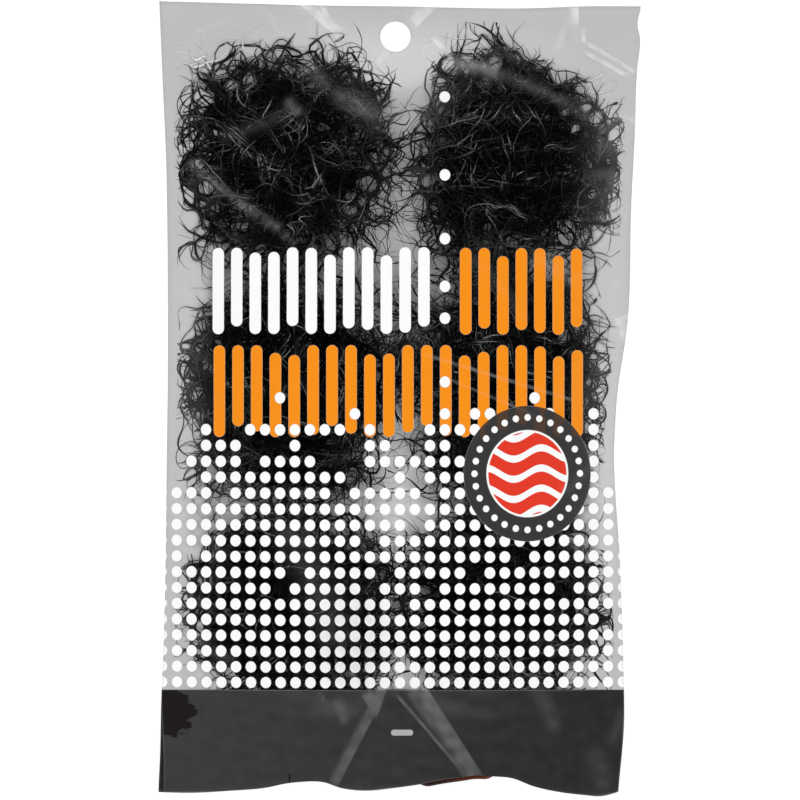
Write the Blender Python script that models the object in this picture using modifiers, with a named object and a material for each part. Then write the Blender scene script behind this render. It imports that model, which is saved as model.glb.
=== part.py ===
# Packet of dried arame: a flat film bag with six tangles of seaweed strands sealed inside.
# It lies on its back. X runs to the right of the printed face, Y towards the edge with the hang
# hole, and Z up. The origin is under the middle of the packet, on the surface that it lies on.

import bmesh
import bpy
import numpy as np
from mathutils import Vector

MM = 0.001

# The packet's flat outline, in millimetres. Each edge is a smooth curve through a few knots.
HALF_HEIGHT = 107.5
LEFT_REACH = ((-107, 65.2), (-96, 64.7), (-83, 64.4), (-64, 63.6), (-45, 63.1), (-22, 62.8),
              (14, 62.4), (40, 62.5), (66, 63.0), (85, 63.9), (107, 64.9))
RIGHT_REACH = ((-107, 59.2), (-90, 60.6), (-70, 60.4), (-45, 59.5), (-12, 57.9), (1, 58.7),
               (20, 61.4), (53, 62.5), (72, 63.5), (89, 64.1), (99, 64.9), (102.5, 64.3), (107, 65.2))
TOP_EDGE = ((-65, 107.5), (-47, 107.0), (-25, 106.4), (-2, 106.1), (36, 105.6), (50, 106.1), (66, 106.1))
FRONT_HEM = ((-65, -106.0), (-57, -106.7), (-41, -105.3), (-25, -103.4), (-8, -105.9), (5, -104.1),
             (18, -101.6), (30, -102.3), (43, -106.1), (54, -107.5), (62, -106.3))

# Film, seals and hang hole.
FILM = 0.3 * MM
LAYER_GAP = 0.4 * MM
SIDE_SEAL = 4 * MM
TOP_SEAL_Y = 102 * MM
FOOT_SEAL_Y = -94 * MM
HOLE_RADIUS = 4.1 * MM
HOLE_CENTRE = Vector((-1.1 * MM, 97.9 * MM))
HOLE_SIDES = 28
WELD_RADIUS = 7.5 * MM
WELD_FADE = 24 * MM

# Height of the welded edges above the surface, by place along the packet, in millimetres.
SEAM_HEIGHT = ((-107, 2.2), (-92, 3.6), (-60, 6.2), (0, 7.4), (60, 6.8), (92, 4.6), (107, 3.4))

# How the filled bag swells in front of its welded edges, and where its back lies flat. A higher
# power keeps the bag full for longer before it falls away to the seal.
SWELL = 15 * MM
SIDE_POWER = 2.6
END_POWER = 5
LUMP_SHARE = 0.26
LUMP_SPREAD = 25 * MM
FLAT_FROM = 0.55

# The fold shaped like a tent that runs from the fill down to the foot.
TENT_APEX = (-1.5 * MM, -78 * MM)
TENT_FOOT = (-15 * MM, 17 * MM)
TENT_FLANK = 4.5 * MM
TENT_HEIGHT = 2.6 * MM

# The unsealed hem: the front layer stands in waves and the back layer lies lower.
HEM_WAVES = ((-25, 3.2, 11), (22, 4.0, 13))
HEM_LIFT = 0.5 * MM
BACK_HEM_SHORTER = 1.2 * MM
BACK_TONGUE = (15.5 * MM, 8 * MM, 3.0 * MM)
FRONT_CORNER_INSET = 1.4 * MM

# The grid of each panel, and where its rows start to bend towards the shaped ends.
FRONT_CELLS = (26, 38)
BACK_CELLS = (20, 28)
END_BLEND = 0.72

# The tangles: two columns and three rows, each in a cell of its own. Shares are of the reach.
COLUMN_X = {"left": -28.3 * MM, "right": 27.8 * MM}
ROW_Y = {"top": 66 * MM, "middle": 4.5 * MM, "bottom": -57 * MM}
TANGLE_REACH = (25.6 * MM, 29 * MM)
CORE_SHARE = 0.60
CORE_ROUNDS = 2
CORE_DEPTH = 0.33
CORE_ROUGHNESS = 0.13
ROOT = 0.40
STRANDS = 24
STRAND_POINTS = 7
STRAND_RADIUS = 0.75 * MM
STRAND_CLEARANCE = 2.0 * MM
SEED = 120


def curve_through(knots, at):
    """Values of the smooth curve through the knots, given as (place, value) in millimetres."""
    place, value = np.array(knots).T * MM
    slope = np.gradient(value, place)
    i = np.clip(np.searchsorted(place, at) - 1, 0, len(place) - 2)
    gap = place[i + 1] - place[i]
    f = np.clip((at - place[i]) / gap, 0, 1)
    ahead = f * f * (3 - 2 * f)
    bend = gap * (slope[i] * f * (1 - f) ** 2 - slope[i + 1] * f * f * (1 - f))
    return value[i] * (1 - ahead) + value[i + 1] * ahead + bend


def smooth_step(low, high, x):
    """0 below low, 1 above high, and a smooth rise between them."""
    f = np.clip((x - low) / (high - low), 0, 1)
    return f * f * (3 - 2 * f)


def fullness(x, y):
    """How far the fill holds the panels apart, from 0 on the seals to about 1 in the middle."""
    reach = np.where(x < 0, curve_through(LEFT_REACH, y), curve_through(RIGHT_REACH, y)) - SIDE_SEAL
    across = 1 - np.clip(abs(x) / reach, 0, 1) ** SIDE_POWER
    middle, half = (TOP_SEAL_Y + FOOT_SEAL_Y) / 2, (TOP_SEAL_Y - FOOT_SEAL_Y) / 2
    along = 1 - np.clip(abs(y - middle) / half, 0, 1) ** END_POWER
    from_hole = np.hypot(x - HOLE_CENTRE.x, y - HOLE_CENTRE.y)
    return across * along * smooth_step(WELD_RADIUS, WELD_FADE, from_hole)


def tent(x, y):
    """Height of the tent fold: a plateau that widens from its apex to the foot, between two flanks."""
    down = np.clip((TENT_APEX[1] - y) / (TENT_APEX[1] + HALF_HEIGHT * MM), 0, 1)
    left = TENT_APEX[0] + (TENT_FOOT[0] - TENT_APEX[0]) * down
    right = TENT_APEX[0] + (TENT_FOOT[1] - TENT_APEX[0]) * down
    plateau = smooth_step(left - TENT_FLANK, left, x) * smooth_step(-right - TENT_FLANK, -right, -x)
    return TENT_HEIGHT * smooth_step(0, 0.45, down) * plateau


def seam_height(x, y):
    """Height of the plane in which the two panels are welded."""
    return curve_through(SEAM_HEIGHT, y) + tent(x, y)


def lumps(x, y):
    """Where the film stands on a tangle, about 1 at its middle and 0 between tangles."""
    return sum(
        np.exp(-(((x - column) ** 2 + (y - row) ** 2) / LUMP_SPREAD**2))
        for column in COLUMN_X.values()
        for row in ROW_Y.values()
    )


def front_height(x, y):
    """Height of the front panel's outer face."""
    swell = SWELL * fullness(x, y) * (1 - LUMP_SHARE + LUMP_SHARE * lumps(x, y))
    hem = smooth_step(-FOOT_SEAL_Y, HALF_HEIGHT * MM, -y)
    waves = sum(
        high * MM * np.exp(-(((x - at * MM) / (wide * MM)) ** 2)) for at, high, wide in HEM_WAVES
    )
    return seam_height(x, y) + LAYER_GAP / 2 + FILM + swell + hem * (HEM_LIFT + waves)


def back_height(x, y):
    """Height of the back panel's outer face, which lies flat at 0 under the fill."""
    return (seam_height(x, y) - LAYER_GAP / 2 - FILM) * (1 - smooth_step(0, FLAT_FROM, fullness(x, y)))


def front_hem(x):
    return curve_through(FRONT_HEM, x)


def back_hem(x):
    """The back's hem is a little shorter than the front's, but for one tongue that peeps out."""
    at, wide, longer = BACK_TONGUE
    return curve_through(FRONT_HEM, x) + BACK_HEM_SHORTER - longer * np.exp(-(((x - at) / wide) ** 2))


def panel_outline(s, t, hem, left_inset):
    """Places a unit grid, s and t from -1 to 1, on the packet's outline."""
    y = t * HALF_HEIGHT * MM
    foot, head = smooth_step(END_BLEND, 1, -t), smooth_step(END_BLEND, 1, t)
    left = curve_through(LEFT_REACH, y) - left_inset * foot
    right = curve_through(RIGHT_REACH, y)
    x = -left + (left + right) * (s + 1) / 2
    y = y + foot * (hem(x) + HALF_HEIGHT * MM) + head * (curve_through(TOP_EDGE, x) - HALF_HEIGHT * MM)
    return x, y


def film_panel(name, cells, height, outline, faces_up, cutter):
    """One panel of film: a grid laid on the outline and its height, thickened inwards, with the hang hole."""
    grid = bmesh.new()
    bmesh.ops.create_grid(grid, x_segments=cells[0], y_segments=cells[1], size=1)
    mesh = bpy.data.meshes.new(name)
    grid.to_mesh(mesh)
    grid.free()
    points = np.empty(len(mesh.vertices) * 3)
    mesh.vertices.foreach_get("co", points)
    s, t, _ = points.reshape(-1, 3).T
    x, y = panel_outline(s, t, *outline)
    mesh.vertices.foreach_set("co", np.stack([x, y, height(x, y)], axis=1).ravel())
    if not faces_up:
        mesh.flip_normals()
    mesh.shade_smooth()
    panel = bpy.data.objects.new(name, mesh)
    wall = panel.modifiers.new("film", "SOLIDIFY")
    wall.thickness = FILM
    wall.offset = -1
    hole = panel.modifiers.new("hang_hole", "BOOLEAN")
    hole.operation = "DIFFERENCE"
    hole.object = cutter
    return panel


def strand_line(draw, centre):
    """Points along one strand, and its thickness there. Its roots are sunk in the tangle's core."""
    u = np.linspace(0, 1, STRAND_POINTS)
    arch = np.sin(np.pi * u)
    start = draw.uniform(0, 2 * np.pi)
    lean = draw.choice([-1, 1])
    thin = np.ones_like(u)
    kind = draw.random()
    if kind < 0.5:  # a loop that leaves the core and comes back
        angle = start + lean * draw.uniform(0.5, 1.25) * u
        out = ROOT + (draw.uniform(0.74, 0.98) - ROOT) * arch**0.8
        level = 0.5 + draw.uniform(-0.3, 0.4) * arch
    elif kind < 0.75:  # a loose end that sticks out and curls
        angle = start + lean * draw.uniform(0.3, 0.9) * u**1.6
        out = ROOT + (draw.uniform(0.85, 1.0) - ROOT) * u**0.8
        level = 0.5 + draw.uniform(-0.3, 0.3) * u
        thin = 1 - 0.55 * u**2
    else:  # a strand that crosses over the top of the core
        aside = draw.uniform(-0.7, 0.7) * ROOT + 0.08 * np.sin(2 * np.pi * (u + draw.random()))
        along = ROOT * np.linspace(-1, 1, STRAND_POINTS)
        angle, out = start + np.arctan2(aside, along), np.hypot(along, aside)
        level = 0.5 + 0.48 * arch**0.5
    x = centre[0] + TANGLE_REACH[0] * out * np.cos(angle)
    y = centre[1] + TANGLE_REACH[1] * out * np.sin(angle)
    return np.stack([x, y, between_panels(x, y, level)], axis=1), thin


def between_panels(x, y, level):
    """Height inside the bag, from just over the back at level 0 to just under the front at level 1."""
    low = back_height(x, y) + FILM + STRAND_CLEARANCE
    high = front_height(x, y) - FILM - STRAND_CLEARANCE
    return low + (high - low) * np.clip(level, 0, 1)


def strand_mesh(name, line, thin, section):
    """A strand as a curve with a three-sided section, made into a closed mesh."""
    curve = bpy.data.curves.new(name, "CURVE")
    curve.dimensions = "3D"
    curve.bevel_mode = "OBJECT"
    curve.bevel_object = section
    curve.use_fill_caps = True
    spline = curve.splines.new("POLY")
    spline.points.add(len(line) - 1)
    spline.points.foreach_set("co", np.column_stack([line, np.ones(len(line))]).ravel())
    spline.points.foreach_set("radius", thin)
    holder = bpy.data.objects.new(name, curve)
    bpy.context.collection.objects.link(holder)
    graph = bpy.context.evaluated_depsgraph_get()
    mesh = bpy.data.meshes.new_from_object(holder.evaluated_get(graph))
    bpy.data.objects.remove(holder)
    weld = bmesh.new()
    weld.from_mesh(mesh)
    bmesh.ops.remove_doubles(weld, verts=weld.verts, dist=1e-6)
    bmesh.ops.recalc_face_normals(weld, faces=weld.faces)
    weld.to_mesh(mesh)
    weld.free()
    return mesh


def core_mesh(name, draw, centre):
    """The dense middle of a tangle: a flattened, uneven ball that fits between the panels."""
    ball = bmesh.new()
    bmesh.ops.create_icosphere(ball, subdivisions=CORE_ROUNDS, radius=1)
    mesh = bpy.data.meshes.new(name)
    ball.to_mesh(mesh)
    ball.free()
    points = np.empty(len(mesh.vertices) * 3)
    mesh.vertices.foreach_get("co", points)
    points = points.reshape(-1, 3)
    points *= 1 + CORE_ROUGHNESS * draw.uniform(-1, 1, (len(points), 1))
    x = centre[0] + CORE_SHARE * TANGLE_REACH[0] * points[:, 0]
    y = centre[1] + CORE_SHARE * TANGLE_REACH[1] * points[:, 1]
    z = between_panels(x, y, 0.5 + CORE_DEPTH * points[:, 2])
    mesh.vertices.foreach_set("co", np.stack([x, y, z], axis=1).ravel())
    return mesh


def tangle(name, centre, seed, section):
    """One tangle of arame: its core with the strands fused into it, as one body."""
    draw = np.random.default_rng(seed)
    body = bpy.data.objects.new(name, core_mesh(name, draw, centre))
    bpy.context.scene.collection.objects.link(body)
    loose = bpy.data.collections.new(name + "_strands")
    bpy.context.scene.collection.children.link(loose)
    for number in range(STRANDS):
        line, thin = strand_line(draw, centre)
        mesh = strand_mesh(f"{name}_{number}", line, thin, section)
        loose.objects.link(bpy.data.objects.new(f"{name}_{number}", mesh))
    join = body.modifiers.new("join", "BOOLEAN")
    join.operation = "UNION"
    join.operand_type = "COLLECTION"
    join.collection = loose
    graph = bpy.context.evaluated_depsgraph_get()
    joined = bpy.data.meshes.new_from_object(body.evaluated_get(graph))
    for used in [body, *loose.objects]:
        bpy.data.objects.remove(used)
    bpy.data.collections.remove(loose)
    return bpy.data.objects.new(name, joined)


def strand_section():
    """The three-sided section that the strands are drawn with."""
    curve = bpy.data.curves.new("strand_section", "CURVE")
    curve.dimensions = "2D"
    spline = curve.splines.new("POLY")
    spline.points.add(2)
    for point, turn in zip(spline.points, np.radians((90, 210, 330))):
        point.co = (STRAND_RADIUS * np.cos(turn), STRAND_RADIUS * np.sin(turn), 0, 1)
    spline.use_cyclic_u = True
    return bpy.data.objects.new("strand_section", curve)


def hole_cutter():
    """A rod that cuts the hang hole through both panels."""
    bpy.ops.mesh.primitive_cylinder_add(
        vertices=HOLE_SIDES, radius=HOLE_RADIUS, depth=40 * MM, location=(*HOLE_CENTRE, 0)
    )
    cutter = bpy.context.object
    cutter.name = "hole_cutter"
    bpy.context.collection.objects.unlink(cutter)
    return cutter


def finish(name, colour, roughness, alpha=1.0):
    material = bpy.data.materials.new(name)
    material.use_nodes = True
    shader = material.node_tree.nodes["Principled BSDF"]
    shader.inputs["Base Color"].default_value = (*colour, 1)
    shader.inputs["Roughness"].default_value = roughness
    shader.inputs["Metallic"].default_value = 0
    shader.inputs["Alpha"].default_value = alpha
    material.diffuse_color = (*colour, alpha)
    return material


def add_part(collection, part, origin, material):
    """Puts a finished part in the packet's collection, under its origin and with its material."""
    part.data.materials.clear()
    part.data.materials.append(material)
    part.parent = origin
    collection.objects.link(part)


def main():
    for old in list(bpy.data.objects):
        bpy.data.objects.remove(old)
    packet = bpy.data.collections.new("packet_of_arame")
    helpers = bpy.data.collections.new("helpers")
    bpy.context.scene.collection.children.link(packet)
    bpy.context.scene.collection.children.link(helpers)
    origin = bpy.data.objects.new("packet_origin", None)
    packet.objects.link(origin)

    clear_film = finish("clear_film", (0.80, 0.81, 0.80), 0.15, alpha=0.3)
    grey_film = finish("grey_film", (0.53, 0.54, 0.53), 0.35)
    dried_arame = finish("dried_arame", (0.010, 0.011, 0.009), 0.45)

    cutter, section = hole_cutter(), strand_section()
    for helper in (cutter, section):
        helpers.objects.link(helper)
        helper.hide_render = True
        helper.display_type = "WIRE"

    front_outline, back_outline = (front_hem, FRONT_CORNER_INSET), (back_hem, 0)
    front = film_panel("film_front", FRONT_CELLS, front_height, front_outline, True, cutter)
    back = film_panel("film_back", BACK_CELLS, back_height, back_outline, False, cutter)
    add_part(packet, front, origin, clear_film)
    add_part(packet, back, origin, grey_film)
    seed = SEED
    for row, y in ROW_Y.items():
        for column, x in COLUMN_X.items():
            add_part(packet, tangle(f"arame_{row}_{column}", (x, y), seed, section), origin, dried_arame)
            seed += 1


main()
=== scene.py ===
import bpy
import numpy as np
from mathutils import Matrix


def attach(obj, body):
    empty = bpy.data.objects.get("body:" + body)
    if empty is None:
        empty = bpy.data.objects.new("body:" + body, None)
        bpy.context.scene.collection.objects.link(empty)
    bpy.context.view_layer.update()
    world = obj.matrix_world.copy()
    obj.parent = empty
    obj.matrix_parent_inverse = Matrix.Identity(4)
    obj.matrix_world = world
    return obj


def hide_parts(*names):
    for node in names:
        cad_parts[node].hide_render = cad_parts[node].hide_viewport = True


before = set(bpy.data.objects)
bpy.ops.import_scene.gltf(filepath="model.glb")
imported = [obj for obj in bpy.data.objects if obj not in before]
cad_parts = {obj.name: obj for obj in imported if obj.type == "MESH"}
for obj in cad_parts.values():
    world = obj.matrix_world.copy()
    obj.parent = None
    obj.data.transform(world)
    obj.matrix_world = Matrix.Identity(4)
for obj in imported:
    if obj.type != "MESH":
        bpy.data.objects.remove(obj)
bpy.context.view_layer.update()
print("frame loaded:", sorted(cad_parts))


# Shape of the packet, as in the CAD

packet = {
    "halfHeight": 107.5, "film": 0.12, "layerGap": 0.16,
    # reach of each side by height, and height of both ends by place across
    "leftReach": ((-107, 65.2), (-96, 64.7), (-83, 64.4), (-64, 63.6), (-45, 63.1), (-22, 62.8),
                  (14, 62.4), (40, 62.5), (66, 63.0), (85, 63.9), (107, 64.9)),
    "rightReach": ((-107, 59.2), (-90, 60.6), (-70, 60.4), (-45, 59.5), (-12, 57.9), (1, 58.7), (20, 61.4),
                   (53, 62.5), (72, 63.5), (89, 64.1), (99, 64.9), (102.5, 64.3), (107, 65.2)),
    "topEdge": ((-65, 107.5), (-47, 107.0), (-25, 106.4), (-2, 106.1), (36, 105.6), (50, 106.1),
                (66, 106.1)),
    "frontHem": ((-65, -106.3), (-57, -106.5), (-47, -106.0), (-36, -105.0), (-30.5, -103.8), (-27, -103.4),
                 (-20.5, -103.5), (-16, -104.9), (-8, -105.7), (-3, -105.2), (5.5, -104.0), (11, -102.9),
                 (16.5, -102.1), (20.5, -101.6), (25, -101.9), (30.5, -102.4), (36, -104.5), (43, -106.2),
                 (50, -107.1), (54.5, -107.4), (58, -106.6), (61, -105.4)),
    "endsFrom": 0.72, "cornerInset": 1.4,
    # the back panel's hem ends higher, but for the left corner and a tongue that starts, is full, falls and
    # is gone at these places, and reaches this much lower
    "backShorter": 1.2, "backStep": (-62, -55), "backTongue": (3, 8, 23, 28, 2.3),
    # the weld's plane by height, the seals, and the weld round the hang hole
    "seamHeight": ((-107, 2.2), (-92, 3.6), (-60, 6.2), (0, 7.4), (60, 6.8), (92, 4.6), (107, 3.4)),
    "sideSeal": 1.6, "topSeal": 103.5, "footSeal": -88,
    "hole": (-1.1, 97.9), "holeRadius": 4.1, "weldRadius": 6.5, "weldFade": 29,
    # the fill between the panels, with a lump over each tangle
    "easeIn": 0.12, "sidePower": 2.6, "endPower": 5, "flatFrom": 0.85,
    "swell": 15, "lumpShare": 0.26, "lumpSpread": 25, "lumpX": (-28.3, 27.8), "lumpY": (66, 4.5, -57),
    # a tent-shaped fold at the foot, and the loose hem's waves: place across, height and width
    "tentApex": (-2.5, -78.5), "tentFoot": (-16.9, 21.7), "tentFlanks": (5.2, 7.4),
    "tentHeight": 2.5, "tentRise": 0.45,
    "hemWaves": ((-27, 2.6, 11), (30, 2.8, 12)), "hemLift": 0.5, "hemFrom": -94,
}


# a smooth curve through knots of (place, value): cubic between knots, with the slopes of its neighbours
def curveThrough(knots, at):
    place, value = np.array(knots, float).T
    slope = np.gradient(value, place)
    i = np.clip(np.searchsorted(place, at) - 1, 0, len(place) - 2)
    gap = place[i + 1] - place[i]
    f = np.clip((at - place[i]) / gap, 0, 1)
    ahead = f * f * (3 - 2 * f)
    bend = gap * (slope[i] * f * (1 - f) ** 2 - slope[i + 1] * f * f * (1 - f))
    return value[i] * (1 - ahead) + value[i + 1] * ahead + bend


# 0 below low, 1 above high, 3f^2 - 2f^3 between
def smoothStep(low, high, x):
    f = np.clip((x - low) / (high - low), 0, 1)
    return f * f * (3 - 2 * f)


# how far the fill holds the panels apart: (1 - |x/reach|^a)(1 - |y/half|^b), pinched to 0 round the hang
# hole and then eased, f^2(1 + e)/(f + e), so that it leaves 0 without a crease
def fullness(x, y):
    p = packet
    leftReach, rightReach = curveThrough(p["leftReach"], y), curveThrough(p["rightReach"], y)
    reach = np.where(x < 0, leftReach, rightReach) - p["sideSeal"]
    across = 1 - np.clip(abs(x) / reach, 0, 1) ** p["sidePower"]
    middle, half = (p["topSeal"] + p["footSeal"]) / 2, (p["topSeal"] - p["footSeal"]) / 2
    along = 1 - np.clip(abs(y - middle) / half, 0, 1) ** p["endPower"]
    fromHole = np.hypot(x - p["hole"][0], y - p["hole"][1])
    full = across * along * smoothStep(p["weldRadius"], p["weldFade"], fromHole)
    return full * full * (1 + p["easeIn"]) / (full + p["easeIn"])


# the plane of the weld, with a tent-shaped fold that widens from its apex to the foot: a flat top between
# two straight flanks, which rises smoothly below the apex
def seamHeight(x, y):
    p = packet
    apexX, apexY = p["tentApex"]
    down = np.clip((apexY - y) / (apexY + p["halfHeight"]), 0, 1)
    left = apexX + (p["tentFoot"][0] - apexX) * down
    right = apexX + (p["tentFoot"][1] - apexX) * down
    leftFlank, rightFlank = p["tentFlanks"]
    flatTop = np.clip(np.minimum(1 + (x - left) / leftFlank, 1 - (x - right) / rightFlank), 0, 1)
    return curveThrough(p["seamHeight"], y) + p["tentHeight"] * smoothStep(0, p["tentRise"], down) * flatTop


# a lump over each tangle: exp(-(d/spread)^2), summed over the tangles' middles
def lumps(x, y):
    middles = [(a, b) for a in packet["lumpX"] for b in packet["lumpY"]]
    return sum(np.exp(-((x - a) ** 2 + (y - b) ** 2) / packet["lumpSpread"] ** 2) for a, b in middles)


# outer face of the front panel: weld plane + swell + waves of the loose hem
def frontHeight(x, y):
    p = packet
    swell = p["swell"] * fullness(x, y) * (1 - p["lumpShare"] + p["lumpShare"] * lumps(x, y))
    hem = smoothStep(-p["hemFrom"], p["halfHeight"], -y)
    waves = sum(high * np.exp(-(((x - at) / wide) ** 2)) for at, high, wide in p["hemWaves"])
    return seamHeight(x, y) + p["layerGap"] / 2 + p["film"] + swell + hem * (p["hemLift"] + waves)


# outer face of the back panel: on the surface, z = 0, under the fill and up at the weld plane round it
def backHeight(x, y):
    p = packet
    rise = 1 - smoothStep(0, p["flatFrom"], fullness(x, y))
    return (seamHeight(x, y) - p["layerGap"] / 2 - p["film"]) * rise


# the front panel's hem is a curve across, and the back panel's is that curve raised, less its tongue
def frontHem(x):
    return curveThrough(packet["frontHem"], x)


def backHem(x):
    rise, full, fall, gone, longer = packet["backTongue"]
    tongue = smoothStep(rise, full, x) * smoothStep(-gone, -fall, -x)
    return frontHem(x) + packet["backShorter"] * smoothStep(*packet["backStep"], x) - longer * tongue


# lays a unit grid, s and t from -1 to 1, on a panel's outline: x runs evenly from side to side, y is t
# times the half height, and towards both ends it bends to the hem and to the top edge
def panelOutline(s, t, hemOf, leftInset):
    p = packet
    y = t * p["halfHeight"]
    foot, head = smoothStep(p["endsFrom"], 1, -t), smoothStep(p["endsFrom"], 1, t)
    left = curveThrough(p["leftReach"], y) - leftInset * foot
    right = curveThrough(p["rightReach"], y)
    x = -left + (left + right) * (s + 1) / 2
    top = curveThrough(p["topEdge"], x)
    return x, y + foot * (hemOf(x) + p["halfHeight"]) + head * (top - p["halfHeight"])


# Small relief of the film: creases and a soft unevenness where it lies on the strands

relief = {
    "seed": 7, "waves": 26, "waveLength": (7, 22), "height": 0.20, "flatShare": 0.35,
    "cloudWaves": 24, "cloudLength": (2.4, 9), "cloudSize": 0.24,
    # from (x, y), to (x, y), bow aside, half width, height, and painted glare: a whitening of the film that
    # stands in for highlights
    "creases": (
        ((8.5, 106), (1.8, 100), 0.2, 1.2, 0.4, 0),
        ((-2.6, 93.8), (-8.0, 88.5), -0.2, 1.3, 0.5, 0),
        ((-26.0, 106.5), (-15.5, 95.5), -1.2, 2.0, 0.5, 0.06),
        ((-37.5, 106), (-33, 98.5), 1.2, 0.7, 0.3, 0.10),
        ((-33, 99.5), (-27.5, 96), 0.5, 0.4, 0.2, 0.10),
        ((-56, 97.5), (-48.5, 101.5), 0.7, 0.5, 0.2, 0.14),
        ((47.4, 105.5), (45.5, 99), 0.4, 1.4, 0.5, 0.04),
        ((44.5, 100.8), (42.6, 95.0), 0.4, 1.1, 0.3, 0.12),
        ((48, 97), (62.5, 87), 0.8, 1.2, 0.5, 0.06),
        ((59, 76.5), (65, 74), 0.3, 1.3, 0.3, 0.14),
        # over the tangles: ridges with painted glare
        ((-56, 63.5), (-33, 46), -0.6, 1.0, 0.4, 0.038),
        ((-45, 54), (-28, 41.5), -0.4, 0.45, 0.2, 0.034),
        ((13.5, 90.5), (25, 88.0), 0.5, 1.6, 0.4, 0.075),
        ((24, 88.5), (50, 76.5), 0.8, 1.4, 0.4, 0.022),
        ((-16, 81), (-8, 75.5), 0.4, 1.9, 0.3, 0.018),
        ((-24, 88.5), (-20.5, 84.5), 0.2, 1.6, 0.3, 0.020),
        ((-29.5, 79.2), (-27.6, 77.2), 0.0, 1.3, 0.3, 0.034),
        ((-46, 71), (-29, 78), -1.0, 1.7, 0.3, 0.008),
        ((-62, 20), (-50, 8), 1.0, 1.2, 0.4, 0.012),
        ((57, -8), (44, -24), 1.5, 1.3, 0.5, 0.020),
        ((60, 22), (49, 33), 1.0, 1.2, 0.4, 0.030),
        ((61, 52), (54, 43), 1.0, 1.3, 0.4, 0.060),
        ((-60, -60), (-46, -70), -1.0, 1.3, 0.4, 0.020),
        ((-28, -38), (-18, -62), 1.0, 4.5, 0.3, 0.012),
        ((-4, 13), (53, -7), 1.2, 1.1, 0.3, 0),
        ((37, 38), (46, 32), 0.0, 2.0, 0.3, 0.020),
        ((20, 37), (33, 22), 0.8, 1.5, 0.3, 0.012),
        # painted haze along both sides: glare only, with no ridge
        ((60, 92), (59, -22), 0, 7.5, 0, 0.030),
        ((-59.5, 30), (-58, -32), 0, 6, 0, 0.018),
        # on the band: painted glints
        ((-16.3, -81.5), (-15.0, -86.5), 0.3, 1.3, 0.35, 0.050),
        ((-21.5, -79.2), (-20.4, -81.0), 0.0, 0.4, 0.2, 0.050),
        ((37.5, -79), (41.5, -88), 0.5, 1.9, 0.4, 0.034),
        ((53, -97), (55, -104), 0.4, 2.6, 0.5, 0.026),
        ((60, -85), (57.5, -92), 0.4, 1.6, 0.4, 0.026),
    ),
}


# the profile of a crease, exp(-(d/width)^2), where d is the least distance to points along a bowed line
def creaseProfile(x, y, start, end, bow, wide):
    f = np.linspace(0, 1, 15)
    start, end = np.array(start, float), np.array(end, float)
    aside = np.array([start[1] - end[1], end[0] - start[0]]) / np.hypot(*(end - start))
    line = start + f[:, None] * (end - start) + 4 * bow * (f * (1 - f))[:, None] * aside
    distance = np.min([np.hypot(x - a, y - b) for a, b in line], axis=0)
    return np.exp(-((distance / wide) ** 2))


# a sum of sine waves of many directions and lengths, scaled to a usual size of 1
def sineField(x, y, seed, waves, lengths):
    draw = np.random.default_rng(seed)
    total = np.zeros_like(x)
    for _ in range(waves):
        turn, length = draw.uniform(0, np.pi), draw.uniform(*lengths)
        along = x * np.cos(turn) + y * np.sin(turn)
        total += np.sin(2 * np.pi * along / length + draw.uniform(0, 2 * np.pi))
    return total * np.sqrt(2 / waves)


# outer face of the front panel with its relief: waves, stronger where the bag is full, and a ridge along
# each crease
def reliefHeight(x, y):
    r = relief
    waves = r["height"] * sineField(x, y, r["seed"], r["waves"], r["waveLength"])
    ridges = sum(high * creaseProfile(x, y, *crease) for *crease, high, _ in r["creases"])
    return frontHeight(x, y) + waves * (r["flatShare"] + (1 - r["flatShare"]) * fullness(x, y)) + ridges


# painted glare on the film, a whitening that stands in for highlights: along each crease its strength times
# its profile, and the greatest where they meet
def creaseGlare(x, y):
    return np.max([veil * creaseProfile(x, y, *crease) for *crease, _, veil in relief["creases"]], axis=0)


# how unevenly the painted glare and some inks lie: 1 plus a sum of short sine waves
def filmCloud(x, y):
    r = relief
    return 1 + r["cloudSize"] * sineField(x, y, r["seed"] + 1, r["cloudWaves"], r["cloudLength"])


# Meshes

# a mesh from arrays of points, in millimetres, and of four-sided and three-sided faces
def meshOf(name, points, quads, triangles=np.zeros((0, 3), int)):
    mesh = bpy.data.meshes.new(name)
    mesh.vertices.add(len(points))
    mesh.vertices.foreach_set("co", (points * 0.001).astype(np.float32).ravel())
    corners = np.concatenate([quads.ravel(), triangles.ravel()]).astype(np.int32)
    starts = np.concatenate([np.arange(len(quads)) * 4, quads.size + np.arange(len(triangles)) * 3])
    mesh.loops.add(len(corners))
    mesh.loops.foreach_set("vertex_index", corners)
    mesh.polygons.add(len(starts))
    mesh.polygons.foreach_set("loop_start", starts.astype(np.int32))
    mesh.update(calc_edges=True)
    mesh.validate()
    mesh.shade_smooth()
    return mesh


# the faces of a grid of rows by columns of points, numbered row by row
def gridQuads(rows, columns):
    corner = np.arange(rows * columns).reshape(rows, columns)
    quads = np.stack([corner[:-1, :-1], corner[:-1, 1:], corner[1:, 1:], corner[1:, :-1]], axis=-1)
    return quads.reshape(-1, 4)


def addPiece(name, mesh, finish):
    piece = bpy.data.objects.new(name, mesh)
    mesh.materials.append(finish)
    bpy.context.scene.collection.objects.link(piece)
    return piece


def addFloats(mesh, name, values):
    attribute = mesh.attributes.new(name, "FLOAT", "POINT")
    attribute.data.foreach_set("value", values.astype(np.float32).ravel())


# hides the CAD node that a piece stands for, and makes the piece ride on the packet's one body
def standFor(piece, node):
    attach(piece, "root")
    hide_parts(node)


# Shader maths: a Wire is a socket that takes part in Python expressions

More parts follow.
